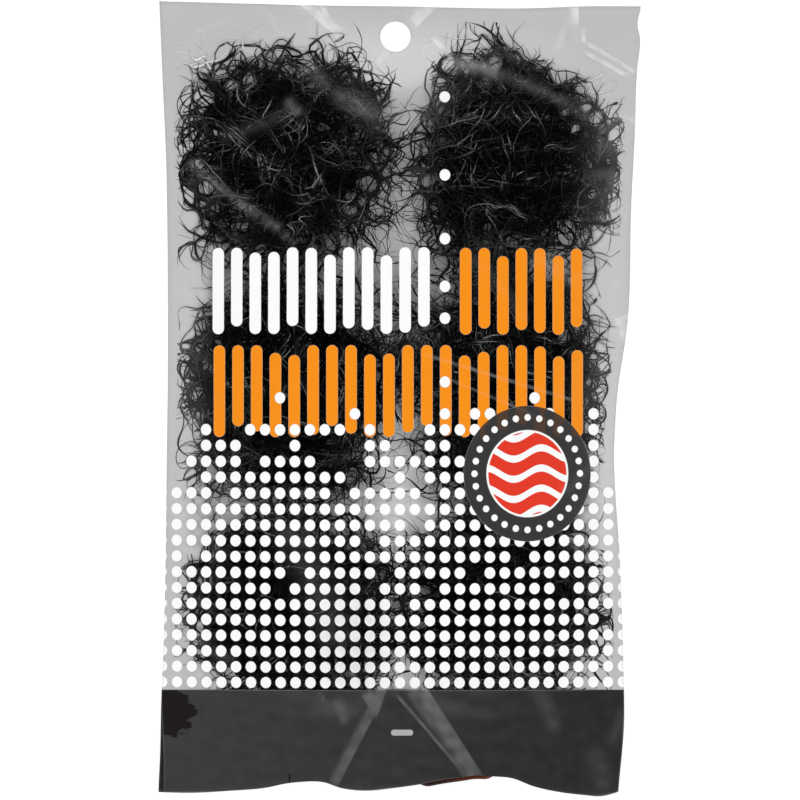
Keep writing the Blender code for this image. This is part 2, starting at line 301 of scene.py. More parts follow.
class Wire:
    def __init__(self, finish, socket):
        self.finish = finish
        self.socket = socket

    def maths(self, operation, *others):
        return self.finish.maths(operation, self, *others)

    def __add__(self, other):
        return self.maths("ADD", other)

    def __sub__(self, other):
        return self.maths("SUBTRACT", other)

    def __rsub__(self, other):
        return self.finish.maths("SUBTRACT", other, self)

    def __mul__(self, other):
        return self.maths("MULTIPLY", other)

    def __truediv__(self, other):
        return self.maths("DIVIDE", other)

    def __lt__(self, other):
        return self.maths("LESS_THAN", other)

    def __gt__(self, other):
        return self.maths("GREATER_THAN", other)

    def __abs__(self):
        return self.maths("ABSOLUTE")

    __radd__ = __add__
    __rmul__ = __mul__


# the nodes of a material or of the sky
class Finish:
    def __init__(self, owner):
        owner.use_nodes = True
        self.owner, self.tree = owner, owner.node_tree
        self.tree.nodes.clear()

    # one node: its type, its settings, what goes into its sockets, and which output is wanted
    def node(self, kind, settings=None, sockets=None, output=0):
        node = self.tree.nodes.new(kind)
        for key, value in (settings or {}).items():
            if key == "stops":
                ramp = node.color_ramp
                while len(ramp.elements) < len(value):
                    ramp.elements.new(1)
                for element, (place, colour) in zip(ramp.elements, value):
                    element.position, element.color = place, (*colour, 1)
            else:
                setattr(node, key, value)
        for key, value in (sockets or {}).items():
            if isinstance(value, Wire):
                self.tree.links.new(value.socket, node.inputs[key])
            else:
                node.inputs[key].default_value = value
        return Wire(self, node.outputs[output]) if len(node.outputs) else node

    def maths(self, operation, *values):
        return self.node("ShaderNodeMath", {"operation": operation}, dict(enumerate(values)))

    # x, y and z of a coordinate output, times scale
    def coordinates(self, kind="Object", scale=1000):
        where = self.node("ShaderNodeTexCoord", None, None, kind)
        split = self.node("ShaderNodeSeparateXYZ", None, {0: where}).socket.node
        return tuple(Wire(self, split.outputs[axis]) * scale for axis in "XYZ")

    def attribute(self, name):
        return self.node("ShaderNodeAttribute", {"attribute_name": name}, None, "Fac")

    def noise(self, scale, detail):
        where = self.node("ShaderNodeTexCoord", None, None, "Object")
        return self.node("ShaderNodeTexNoise", None, {"Vector": where, "Scale": scale, "Detail": detail})

    # low at start, high at end, straight or smooth between, and level beyond them
    def fade(self, value, start, end, low=0, high=1, kind="LINEAR"):
        sockets = {0: value, 1: start, 2: end, 3: low, 4: high}
        return self.node("ShaderNodeMapRange", {"interpolation_type": kind}, sockets)

    # 1 inside, where distance is below 0, and 0 outside, with an edge this many millimetres wide
    def inside(self, distance, edge=0.12):
        return self.fade(distance, edge / 2, -edge / 2)

    # a random number from 0 to 1 for each whole x, y and layer
    def chance(self, x, y, layer):
        cell = self.node("ShaderNodeCombineXYZ", None, {0: x, 1: y, 2: layer})
        return self.node("ShaderNodeTexWhiteNoise", {"noise_dimensions": "3D"}, {0: cell})

    def dot(self, vector, weights):
        sockets = {0: vector, 1: weights}
        return self.node("ShaderNodeVectorMath", {"operation": "DOT_PRODUCT"}, sockets, "Value")

    def mixColour(self, factor, first, second):
        first, second = [v if isinstance(v, Wire) else (*v, 1) for v in (first, second)]
        return self.node("ShaderNodeMix", {"data_type": "RGBA"}, {0: factor, 6: first, 7: second}, 2)

    def mixShader(self, factor, first, second):
        return self.node("ShaderNodeMixShader", None, {0: factor, 1: first, 2: second})

    def bump(self, height, strength, distance):
        sockets = {"Height": height, "Strength": strength, "Distance": distance}
        return self.node("ShaderNodeBump", None, sockets)

    def principled(self, **sockets):
        named = {key.replace("_", " "): value for key, value in sockets.items()}
        return self.node("ShaderNodeBsdfPrincipled", None, named)

    def output(self, surface, kind="ShaderNodeOutputMaterial"):
        self.node(kind, None, {0: surface})
        return self.owner


def newFinish(name):
    return Finish(bpy.data.materials.new(name))


def anyOf(*masks):
    total = masks[0]
    for mask in masks[1:]:
        total = total.maths("MAXIMUM", mask)
    return total


# the straight distance that two distances at right angles make
def hypotenuse(across, along):
    return (across * across + along * along).maths("SQRT")


# The print: dots, upright bars, a roundel and a band at the foot, all in millimetres on the panel

ink = {
    "white": (0.94, 0.945, 0.94), "dullWhite": (0.60, 0.57, 0.555), "orange": (0.905, 0.277, 0.010),
    "red": (0.755, 0.043, 0.021), "charcoal": (0.040, 0.038, 0.039), "orangeUnder": (0.075, 0.045, 0.030),
    # the tones of the painted glare: whitened over the inks and milky over the clear film
    "glareWhite": (0.76, 0.79, 0.83), "milkyGlare": (0.95, 0.95, 0.95),
    # an oval patch where the white ink is greyer: middle, flattening, radii where it is full and gone,
    # strength
    "dullMiddle": (-13, -64), "dullFlat": 0.7, "dullRadii": (3, 17), "dullness": 0.38,
}
bars = (
    {"left": -51.2, "pitch": 5.02, "count": 12, "foot": 17.4, "head": 40.6, "half": 1.55,
     "sway": 2.2, "step": 1.9, "colour": "white"},
    {"left": 15.2, "pitch": 4.98, "count": 7, "foot": 17.2, "head": 40.4, "half": 1.55,
     "sway": 2.2, "step": 2.3, "colour": "orange"},
    {"left": -50.9, "pitch": 5.06, "count": 20, "foot": -10.2, "head": 14.4, "half": 1.55,
     "sway": 3.0, "step": 1.3, "colour": "orange"},
)
dots = {
    "pitch": (4.011, 4.258), "start": (-64.07, -76.35), "half": (1.42, 1.54),
    # the first rows are full, then the share falls from fullShare to strayShare between two rows
    "fullRows": 4, "fadeFrom": 10, "fadeTo": 20.8, "fullShare": 0.88, "strayShare": 0.03, "ownChance": 0.8,
    # the outermost columns lose theirs sooner
    "middleColumn": 15.5, "outerFrom": 13.6, "outerAbove": 12.5, "outerLoss": 0.8,
    "loneColumn": 19, "loneRows": (17, 19, 23, 25, 28, 32, 37),
}
roundel = {
    "middle": (34.3, -20.0), "half": (17.15, 18.15), "rim": 0.645, "heart": 0.615,
    "beads": 28, "beadCircle": 0.83, "beadRadius": 0.85,
    "stripePitch": 5.4, "stripeHalf": 0.95, "waveHeight": 1.5, "waveRate": 0.42,
}
band = {
    "top": -78.5, "cover": 0.995, "pale": (0.045, 0.0455, 0.045), "dark": (0.0225, 0.021, 0.022),
    "pill": (0.7, -90), "pillHalf": 2.2, "pillRadius": 0.8, "pillInk": (0.42, 0.42, 0.41),
    "stain": (-62.5, -84.3), "stainHalf": (7.2, 6.4), "stainRough": 1.3,
    "stainInk": (0.0125, 0.0098, 0.0104),
    "nick": (-29.7, -101.3), "nickHalf": 0.22, "nickInk": (0.004, 0.004, 0.004),
}


# a row of upright bars with round ends: each is the set of points within half of a middle line, and the
# ends of the lines rise and fall as a sine of the bar's number
def barMask(f, x, y, row):
    along = (x - row["left"]) / row["pitch"]
    number = along.maths("FLOOR")
    aside = (along - number - 0.5) * row["pitch"]
    sway = (number * row["step"]).maths("SINE") * row["sway"]
    middle = (row["foot"] + row["head"]) / 2 + sway * 0.5
    reach = (row["head"] - row["foot"]) / 2 - row["half"] - abs(sway) * 0.5
    beyond = (abs(y - middle) - reach).maths("MAXIMUM", 0)
    return f.inside(hypotenuse(aside, beyond) - row["half"]) * (along > 0) * (along < row["count"])


# white oval dots on a lattice: full rows at the foot, then fewer and fewer as the share of dots falls with
# height, and a column of lone dots
def dotMask(f, x, y):
    d = dots
    column = ((x - d["start"][0]) / d["pitch"][0]).maths("ROUND")
    row = ((y - d["start"][1]) / d["pitch"][1]).maths("ROUND")
    acrossDot = (x - d["start"][0] - column * d["pitch"][0]) / d["half"][0]
    alongDot = (y - d["start"][1] - row * d["pitch"][1]) / d["half"][1]
    oval = f.inside((hypotenuse(acrossDot, alongDot) - 1) * d["half"][0])
    share = f.fade(row, d["fadeFrom"], d["fadeTo"], d["fullShare"], d["strayShare"], "SMOOTHSTEP")
    outermost = (abs(column - d["middleColumn"]) > d["outerFrom"]) * (row > d["outerAbove"])
    chance = f.chance(column, row, 1) * d["ownChance"] + f.chance(column, 0, 3) * (1 - d["ownChance"])
    packed = (chance + outermost * d["outerLoss"] < share) * (row < d["fadeTo"] + 1)
    loneRow = anyOf(*(abs(row - number) < 0.5 for number in d["loneRows"]))
    lone = (abs(column - d["loneColumn"]) < 0.5) * loneRow
    return oval * anyOf(packed, lone, row < d["fullRows"] - 0.5) * (row > -0.5)


# the roundel's oval and its ink: a ring of beads round a white rim, and wavy stripes in the heart, whose
# middle lines are sines
def roundelPrint(f, x, y, orange):
    r = roundel
    fromX, fromY = x - r["middle"][0], y - r["middle"][1]
    halfX, halfY = r["half"]
    acrossX, acrossY = fromX / halfX, fromY / halfY
    radius = hypotenuse(acrossX, acrossY)
    disc, rim, heart = [f.inside((radius - share) * halfX) for share in (1, r["rim"], r["heart"])]
    around = acrossY.maths("ARCTAN2", acrossX) * (r["beads"] / (2 * np.pi))
    offBead = (around - around.maths("ROUND")) * (2 * np.pi / r["beads"]) * r["beadCircle"] * halfX
    bead = f.inside(hypotenuse(offBead, (radius - r["beadCircle"]) * halfX) - r["beadRadius"])
    wave = (fromY - (fromX * r["waveRate"]).maths("SINE") * r["waveHeight"]) / r["stripePitch"]
    stripe = f.inside(abs(wave - wave.maths("ROUND")) * r["stripePitch"] - r["stripeHalf"])
    colour = f.mixColour(orange, ink["charcoal"], ink["orangeUnder"])
    colour = f.mixColour(anyOf(bead, rim), colour, ink["white"])
    return disc, f.mixColour(heart, colour, f.mixColour(stripe, ink["red"], ink["white"]))


# the band's ink: paler and darker in clouds, with a ragged stain, a nick in the hem and a small plain pill
def bandPrint(f, x, y, cloud):
    b = band
    colour = f.mixColour(x / 130 + 0.1 + cloud * 0.4, b["pale"], b["dark"])
    (stainX, stainY), (halfX, halfY) = b["stain"], b["stainHalf"]
    stain = hypotenuse((x - stainX) / halfX, (y - stainY) / halfY) - 1
    stain = stain + (f.noise(420, 2) - 0.5) * b["stainRough"]
    colour = f.mixColour(f.inside(stain, 0.06), colour, b["stainInk"])
    nick = f.inside(abs(x - b["nick"][0]) - b["nickHalf"]) * (y < b["nick"][1])
    colour = f.mixColour(nick, colour, b["nickInk"])
    beyond = (abs(x - b["pill"][0]) - b["pillHalf"]).maths("MAXIMUM", 0)
    pill = f.inside(hypotenuse(beyond, y - b["pill"][1]) - b["pillRadius"])
    return f.mixColour(pill, colour, b["pillInk"])


# painted highlight streaks, drawn as whitened folds with one crisp edge. Each starts at a point and runs to
# the next with its crisp edge on the right, and fades to the left over the breadth given
glareStreaks = {
    "edge": 0.2, "fullTo": 0.45, "endFade": 3, "endShare": 0.3,
    # from (x, y), to (x, y), breadth, strength
    "folds": (
        ((-29.4, 108.3), (-15.4, 96.4), 3.8, 0.27),
        ((-15.0, 96.0), (-21.7, 109.0), 2.0, 0.25),
        ((-16.0, 97.0), (-21.0, 109.0), 6.0, 0.12),
        ((-7.6, 87.6), (-1.0, 94.8), 2.6, 0.22),
        ((3.6, 99.2), (11.0, 107.0), 4.8, 0.24),
        ((48.4, 99.0), (48.4, 109.0), 3.2, 0.26),
        ((48.9, 101.0), (49.3, 95.0), 1.6, 0.22),
        ((48.9, 96.2), (64.5, 87.2), 1.7, 0.22),
        ((48.5, 93.8), (62.0, 86.2), 1.8, 0.18),
        ((7.3, 98.2), (14.0, 91.4), 2.2, 0.22),
        ((66.5, 24.5), (56.0, 21.0), 9, 0.24),
        ((5.0, 12.0), (48.0, -1.2), 1.1, 0.045),
        ((40.0, -5.6), (12.0, 6.2), 0.9, 0.035),
        # on the band: painted highlights where the flanks of the tent-shaped fold would catch the light
        ((-17.2, -105.5), (-4.3, -80.6), 3.5, 0.080),
        ((-6.4, -87.0), (-2.9, -76.5), 3.6, 0.100),
        ((-10.6, -79.0), (-7.2, -85.2), 4.2, 0.095),
        ((23.0, -102.5), (6.4, -76.2), 5.6, 0.100),
        ((12.5, -89.5), (3.4, -76.2), 4.0, 0.080),
        ((-2.2, -78.6), (18.6, -103.0), 1.1, 0.085),
    ),
}


# flat is (x, y, 1), so one dot product gives the distance to the left of the line, and another the distance
# along it from its middle
def foldGlareStreak(f, flat, start, end, breadth, strength):
    (startX, startY), (endX, endY) = start, end
    length = float(np.hypot(endX - startX, endY - startY))
    stepX, stepY = (endX - startX) / length, (endY - startY) / length
    across = f.dot(flat, (-stepY, stepX, startX * stepY - startY * stepX))
    along = f.dot(flat, (stepX, stepY, -startX * stepX - startY * stepY - length / 2))
    endFade = min(glareStreaks["endFade"], glareStreaks["endShare"] * length)
    crisp = f.fade(across, -glareStreaks["edge"], glareStreaks["edge"])
    soft = f.fade(across, glareStreaks["fullTo"] * breadth, breadth, strength, 0, "SMOOTHSTEP")
    ends = f.fade(abs(along), length / 2, length / 2 - endFade, kind="SMOOTHSTEP")
    return crisp * soft * ends


# one side of clear film: see-through, with a soft gloss that grows where it is seen aslant
def clearSide(f):
    gloss = f.node("ShaderNodeBsdfGlossy", None, {"Color": (1, 1, 1, 1), "Roughness": 0.16})
    sheen = f.node("ShaderNodeFresnel", None, {"IOR": 1.15})
    return f.mixShader(sheen * 0.9, f.node("ShaderNodeBsdfTransparent"), gloss)


# the front panel's finish: clear film with its inks, and painted glare and highlight streaks, as whitened
# film, along its creases and folds
def printedFilm():
    f = newFinish("printedFilm")
    x, y, _ = f.coordinates()
    cloud = f.attribute("cloud")
    whiteDots = dotMask(f, x, y)
    white = anyOf(whiteDots, *(barMask(f, x, y, row) for row in bars if row["colour"] == "white"))
    orange = anyOf(*(barMask(f, x, y, row) for row in bars if row["colour"] == "orange")) * (1 - whiteDots)
    disc, discInk = roundelPrint(f, x, y, orange)
    onBand = f.inside(y - band["top"])

    dullX, dullY = ink["dullMiddle"]
    fromDull = hypotenuse(x - dullX, (y - dullY) * ink["dullFlat"])
    full, gone = ink["dullRadii"]
    dull = f.fade(fromDull, gone, full, 0, ink["dullness"], "SMOOTHSTEP")
    colour = f.mixColour(dull * cloud, ink["white"], ink["dullWhite"])
    colour = f.mixColour(orange, colour, ink["orange"])
    colour = f.mixColour(disc, colour, discInk)
    colour = f.mixColour(onBand, colour, bandPrint(f, x, y, cloud))

    flat = f.node("ShaderNodeCombineXYZ", None, {0: x, 1: y, 2: 1})
    # painted glare: the film turns milky white along creases and folds where highlights would be
    veil = anyOf(f.attribute("veil"), *(foldGlareStreak(f, flat, *fold) for fold in glareStreaks["folds"])) * cloud
    colour = f.mixColour(veil, colour, ink["glareWhite"])
    printed = f.principled(Base_Color=colour, Roughness=0.30, Coat_Weight=1.0, Coat_Roughness=0.12)
    milkyGlare = f.node("ShaderNodeBsdfDiffuse", None, {"Color": (*ink["milkyGlare"], 1)})
    clear = f.mixShader(veil * (2 - veil), clearSide(f), milkyGlare)
    return f.output(f.mixShader(anyOf(white, orange, disc, onBand * band["cover"]), clear, printed))


# the inner side of the front panel: bare clear film
def bareFilm():
    f = newFinish("bareFilm")
    return f.output(clearSide(f))


backing = {
    "edgeGrey": (0.50, 0.503, 0.50), "grey": (0.60, 0.605, 0.60), "paintedGapGrey": (0.97, 0.975, 0.97),
    "cloudGrey": (0.45, 0.455, 0.45), "clouds": 0.12,
    # the painted paler middle, |x/a|^4 + |(y - b)/c|^6 < 0.85, which lifts the shade the tangles cast, and
    # the gap between the left and the right tangles, painted near white as light
    "middle": (60, 4, 98), "middleSize": 0.85, "gapHalf": 12, "gapFrom": 40, "gapTo": -20,
    "bandTones": ((0.012, 0.011, 0.012), (0.022, 0.021, 0.022)),
    # the rust-brown hem: top, place across, half length and its two tones, dark red-brown and a lighter
    # orange that is partly print and partly a painted highlight
    "rustTop": -98, "rust": (16, 14), "rustTones": ((0.022, 0.0025, 0.0015), (0.15, 0.032, 0.007)),
}


# the back panel's finish: opaque pale grey, painted lighter in the middle and in the gap between the
# tangles, with the charcoal band at its foot and a rust-brown hem
def greyFilm():
    b = backing
    f = newFinish("greyFilm")
    x, y, _ = f.coordinates()
    halfX, middleY, halfY = b["middle"]
    beyond = abs(x / halfX).maths("POWER", 4) + abs((y - middleY) / halfY).maths("POWER", 6)
    # painted light: the middle is paler than the edges, to offset the shade of the tangles
    colour = f.mixColour(f.inside(beyond - b["middleSize"], 0.5), b["edgeGrey"], b["grey"])
    # painted light: near white in the gap between the left and the right tangles
    paintedGapLight = f.fade(abs(x), b["gapHalf"], 0) * f.fade(y, b["gapFrom"], b["gapTo"])
    colour = f.mixColour(paintedGapLight, colour, b["paintedGapGrey"])
    colour = f.mixColour(f.noise(30, 3) * b["clouds"], colour, b["cloudGrey"])

    rustX, rustHalf = b["rust"]
    fromRust = (x - rustX) / rustHalf
    arch = (1 - fromRust * fromRust).maths("MAXIMUM", 0).maths("POWER", 0.4)
    rust = f.inside(y - b["rustTop"], 1.2) * arch
    # lighter orange towards the right: partly print, partly a painted highlight
    rustTone = f.mixColour((x - 12) / 16 + f.noise(400, 3) * 0.5 - 0.25, *b["rustTones"])
    bandTone = f.mixColour(f.noise(25, 2), *b["bandTones"])
    colour = f.mixColour(f.inside(y - band["top"]), colour, f.mixColour(rust, bandTone, rustTone))
    return f.output(f.principled(
        Base_Color=colour, Roughness=0.38, Coat_Weight=0.25, Coat_Roughness=0.15,
        Normal=f.bump(f.noise(240, 4), 0.12, 0.0004)))


# tones of the strands, by tint: near black, with lighter ones, partly real lighter strands and partly
# painted highlights, and a few pale ones, painted as strands lit white
arameTones = (
    (0.0, (0.0006, 0.0007, 0.0006)), (0.54, (0.0012, 0.0015, 0.0014)), (0.68, (0.0042, 0.0052, 0.0049)),
    (0.78, (0.016, 0.018, 0.017)), (0.86, (0.050, 0.052, 0.049)), (0.92, (0.14, 0.14, 0.131)),
    (0.965, (0.32, 0.316, 0.30)), (0.99, (0.82, 0.82, 0.81)),
)
paleFrom = 0.97


# the strands' finish: their tones, mottled but for the pale ones painted as lit white, with fine wrinkles
def driedArame():
    f = newFinish("driedArame")
    tint, mottle = f.attribute("tint"), f.noise(700, 2)
    colour = f.node("ShaderNodeValToRGB", {"stops": arameTones}, {0: tint})
    darker = f.mixColour(0.5, colour, (0.002, 0.002, 0.002))
    return f.output(f.principled(
        Base_Color=f.mixColour(mottle * (tint < paleFrom), colour, darker),
        Roughness=0.40 + mottle * 0.2, Specular_IOR_Level=0.35,
        Normal=f.bump(f.noise(1500, 2), 0.35, 0.0002)))


# Film panels

panels = {
    "filmFront": {"rows": 246, "columns": 150, "height": reliefHeight, "hem": frontHem,
                  "leftInset": packet["cornerInset"], "node": "film_front", "slot": "clear_film"},
    "filmBack": {"rows": 190, "columns": 118, "height": backHeight, "hem": backHem,
                 "leftInset": 0, "node": "film_back", "slot": "grey_film"},
}


# a rod that cuts the hang hole
def holeCutter():
    bpy.ops.mesh.primitive_cylinder_add(vertices=64, radius=packet["holeRadius"] / 1000, depth=0.04)
    cutter = bpy.context.object
    cutter.data.transform(Matrix.Translation((packet["hole"][0] / 1000, packet["hole"][1] / 1000, 0)))
    return cutter


# a panel: its outer face is a height over its outline, the wall goes inwards from it, and the hole is cut
def filmPanel(name, outerFinish, innerFinish, cutter, facesUp):
    panel = panels[name]
    rows, columns = panel["rows"], panel["columns"]
    t, s = np.meshgrid(np.linspace(-1, 1, rows), np.linspace(-1, 1, columns), indexing="ij")
    x, y = panelOutline(s, t, panel["hem"], panel["leftInset"])
    points = np.stack([x, y, panel["height"](x, y)], axis=-1).reshape(-1, 3)
    quads = gridQuads(rows, columns)
    mesh = meshOf(name, points, quads if facesUp else quads[:, ::-1])
    if facesUp:
        addFloats(mesh, "veil", creaseGlare(x, y))
        addFloats(mesh, "cloud", filmCloud(x, y))
    piece = addPiece(name, mesh, outerFinish)
    mesh.materials.append(innerFinish)
    wall = piece.modifiers.new("wall", "SOLIDIFY")
    wall.thickness, wall.offset, wall.material_offset = packet["film"] / 1000, -1, 1
    cut = piece.modifiers.new("hangHole", "BOOLEAN")
    cut.operation, cut.object = "DIFFERENCE", cutter
    evaluated = piece.evaluated_get(bpy.context.evaluated_depsgraph_get())
    cutMesh = bpy.data.meshes.new_from_object(evaluated)
    piece.modifiers.clear()
    piece.data = cutMesh
    standFor(piece, panel["node"])
    print("film panel made:", name, len(cutMesh.polygons), "faces")


cutter, grey = holeCutter(), greyFilm()
filmPanel("filmFront", printedFilm(), bareFilm(), cutter, True)
filmPanel("filmBack", grey, grey, cutter, False)
bpy.data.objects.remove(cutter)


# Tangles of arame

tangles = {
    "seed": 31, "strands": 1950, "families": 390, "rings": 17, "sides": 3,
    # a family's kind is a number from 0 to 1: up to the first share flyaways, then along the rim, then
    # anywhere in the clump, and the rest in its core
    "flyaways": 0.08, "rim": 0.30, "scattered": 0.42,
    # the pale flyaways, painted near white as strands lit white, are in the tangles above this height, and
    # start within this angle of their tops
    "paleAbove": 50, "paleWithin": 0.8,
    # where they start, as shares of the clump's reach: the core (most, power), the others (least, more)
    "coreStart": (0.72, 0.6), "rimStart": (0.78, 0.18), "flyStart": (0.80, 0.18), "paleStart": 0.08,
    "looseness": (0.15, 0.85), "flyLooseness": 0.8, "apart": 1.9, "roundTurn": 1.9, "aim": (0.4, 0.5),
    "length": (9, 36), "flyLength": (8, 25), "shortest": 3, "hold": (0.84, 1.12), "flyHold": (1.15, 1.6),
    # how their courses bend: steady turn, waves of (length, size), and kinks
    "turn": (0.035, 0.03), "waves": ((26, 0.12), (12, 0.16), (5.5, 0.28)), "kinks": 0.10, "kink": 0.9,
    # what draws them back: towards the rim, and near the packet's walls
    "rimPull": 0.10, "rimPullFrom": 0.7, "wallPull": 0.28, "wallPullFrom": 5,
    "farHold": 1.2, "farPull": 0.5, "sideRoom": 2.3, "topRoom": 1.0, "footRoom": 3, "holeRoom": 8,
    # open places in the rim: how many, where as shares of the reach, their size, and how far they push
    "openings": 150, "openAt": (0.64, 1.04), "opening": (0.4, 1.75), "openSlim": (0.35, 0.9),
    "openReach": 2.3,
    "width": (0.15, 0.50), "flatness": 0.55, "lightFrom": 0.66,
    "slimRim": 0.9, "slimLight": 0.8, "slimPale": 0.9, "breath": (0.85, 0.25), "breathRate": 9,
    "bluntness": 7, "bluntTip": 0.2, "taper": 1.4, "taperTip": 0.15,
    "buds": 0.3, "budAt": 0.92, "budLength": 0.05, "twist": 3.0,
    # levels between the panels, (least, more): flyaways, light strands on top, and the rest
    "levels": ((0.2, 0.6), (0.74, 0.3), (0, 0.92)), "levelSpread": 0.08, "levelWave": 0.10, "filmGap": 0.35,
    # tints: streaks along a strand, painted highlights on crests that face up, dark pools, and one tone
    # towards the rim
    "familyTint": 0.75, "mostTint": 0.93, "mostShade": 0.965, "streaky": 0.075, "crestHighlight": 0.05,
    "pools": 0.13, "poolSpan": (11, 19), "rimTone": (0.80, 0.865), "rimFrom": 0.40,
    # waves round the clump's edge, of (number, size); then each tangle's middle, and its reach every 30
    # degrees, from the right round by way of the top
    "edgeWaves": ((5, 0.025), (8, 0.045), (13, 0.05), (21, 0.035)),
    "places": {
        "arame_top_left": (-29.5, 66.5, (30, 32, 31, 28, 31, 33, 34, 34, 35, 33, 35, 31)),
        "arame_top_right": (31.0, 66.5, (29.5, 26, 25, 28, 31.5, 29, 28, 31, 35, 33, 35, 32)),
        "arame_middle_left": (-32.0, 5.0, (36, 32, 31, 31, 29, 27, 27.5, 26, 36, 40, 39, 32)),
        "arame_middle_right": (29.5, 6.5, (25, 24, 29, 31, 31, 31, 33, 32, 39, 40, 35, 25)),
        "arame_bottom_left": (-31.0, -55.5, (33, 31, 29, 28, 28, 28, 27, 28, 30, 27, 30, 34)),
        "arame_bottom_right": (29.0, -55.5, (26, 25, 28, 28, 29, 31, 33, 33, 30, 27, 30, 26)),
    },
}


# how far a tangle reaches in each direction: its measured reaches, times 1 plus a few sine waves round it
def clumpEdge(place, phases, angle):
    reach = np.interp(angle, np.arange(12) * np.pi / 6, place[2], period=2 * np.pi)
    waves = zip(tangles["edgeWaves"], phases)
    return reach * (1 + sum(size * np.sin(number * angle + phase) for (number, size), phase in waves))


# how far a place is from the tangle's middle, as a share of its reach in that direction
def clumpShare(place, phases, x, y):
    across, along = x - place[0], y - place[1]
    return np.hypot(across, along) / clumpEdge(place, phases, np.arctan2(along, across))


# millimetres left before the packet's edges and seals and the weld round the hang hole
def roomLeft(x, y):
    p, t = packet, tangles
    toLeft, toRight = curveThrough(p["leftReach"], y) + x, curveThrough(p["rightReach"], y) - x
    across = np.minimum(toLeft, toRight) - t["sideRoom"]
    along = np.minimum(p["topSeal"] - t["topRoom"] - y, y - p["footSeal"] - t["footRoom"])
    fromHole = np.hypot(x - p["hole"][0], y - p["hole"][1]) - t["holeRoom"]
    return np.minimum(np.minimum(across, along), fromHole)


# strands come in families that lie much alike: a family's value, and each strand's own, times its looseness
def kin(draw, family, loose, shared, own):
    return draw.normal(0, shared, family.max() + 1)[family] + loose * draw.normal(0, own, len(family))


# where the strands start, which way they head, how long they are and how far out they may go. Most
# families start in the dense core, some run along the rim, some lie anywhere in the clump, and flyaways
# head out from its edge; near the top a few of them are pale, painted as strands lit white
def sowStrands(draw, place):
    t, count, families = tangles, tangles["strands"], tangles["families"]
    family = draw.integers(0, families, count)
    phases = draw.uniform(0, 2 * np.pi, 5)  # one more than there are waves, so the last stays unused
    kind = draw.random(families)[family]
    least, more = t["looseness"]
    loose = least + more * draw.random(families)[family]
    flies, rim = kind < t["flyaways"], (kind > t["flyaways"]) & (kind < t["rim"])
    loose = np.where(flies, np.maximum(loose, t["flyLooseness"]), loose)

    spot = draw.uniform(0, 2 * np.pi, families)[family]
    tint = t["familyTint"] * draw.random(families)[family] + (1 - t["familyTint"]) * draw.random(count)
    tint = np.minimum(tint, t["mostTint"])
    nearTop = abs(spot - np.pi / 2) < t["paleWithin"]
    pale = flies & nearTop & (family % 2 == 0) & (place[1] > t["paleAbove"])
    share = draw.random(families)[family]
    (most, power), (rimLeast, rimMore), (flyLeast, flyMore) = t["coreStart"], t["rimStart"], t["flyStart"]
    inside = np.where(kind > t["scattered"], most * share ** power, share ** 0.5)
    out = np.where(rim, rimLeast + rimMore * share, inside)
    out = np.where(flies, flyLeast + flyMore * out, out) + t["paleStart"] * pale
    out = out * clumpEdge(place, phases, spot)
    x = place[0] + out * np.cos(spot) + loose * draw.normal(0, t["apart"], count)
    y = place[1] + out * np.sin(spot) + loose * draw.normal(0, t["apart"], count)

    anyWay = draw.uniform(0, 2 * np.pi, families)[family]
    roundWay = spot + np.where(anyWay > np.pi, t["roundTurn"], -t["roundTurn"])
    heading = np.where(flies, spot, np.where(rim, roundWay, anyWay)) + kin(draw, family, loose, *t["aim"])
    length = np.where(flies, draw.uniform(*t["flyLength"], count), draw.uniform(*t["length"], count))
    limit = np.where(flies, draw.uniform(*t["flyHold"], count), draw.uniform(*t["hold"], count))
    strands = {"family": family, "loose": loose, "flies": flies, "rim": rim, "pale": pale, "tint": tint,
               "x": x, "y": y, "heading": heading, "length": length, "limit": limit}
    started = (roomLeft(x, y) > 0) & (clumpShare(place, phases, x, y) < limit)
    return {key: values[started] for key, values in strands.items()}, phases


# spreads each strand's points again over the part of it that is left, up to its last point, and rounds the
# kinks: each inner point becomes (before + 2 * itself + after) / 4
def respread(values, last):
    rings = values.shape[1]
    at = np.linspace(0, 1, rings)[None, :] * last[:, None]
    before = np.minimum(at.astype(int), rings - 2)
    part = at - before
    start, end = np.take_along_axis(values, before, 1), np.take_along_axis(values, before + 1, 1)
    values = start * (1 - part) + end * part
    values[:, 1:-1] = (values[:, :-2] + 2 * values[:, 1:-1] + values[:, 2:]) / 4
    return values


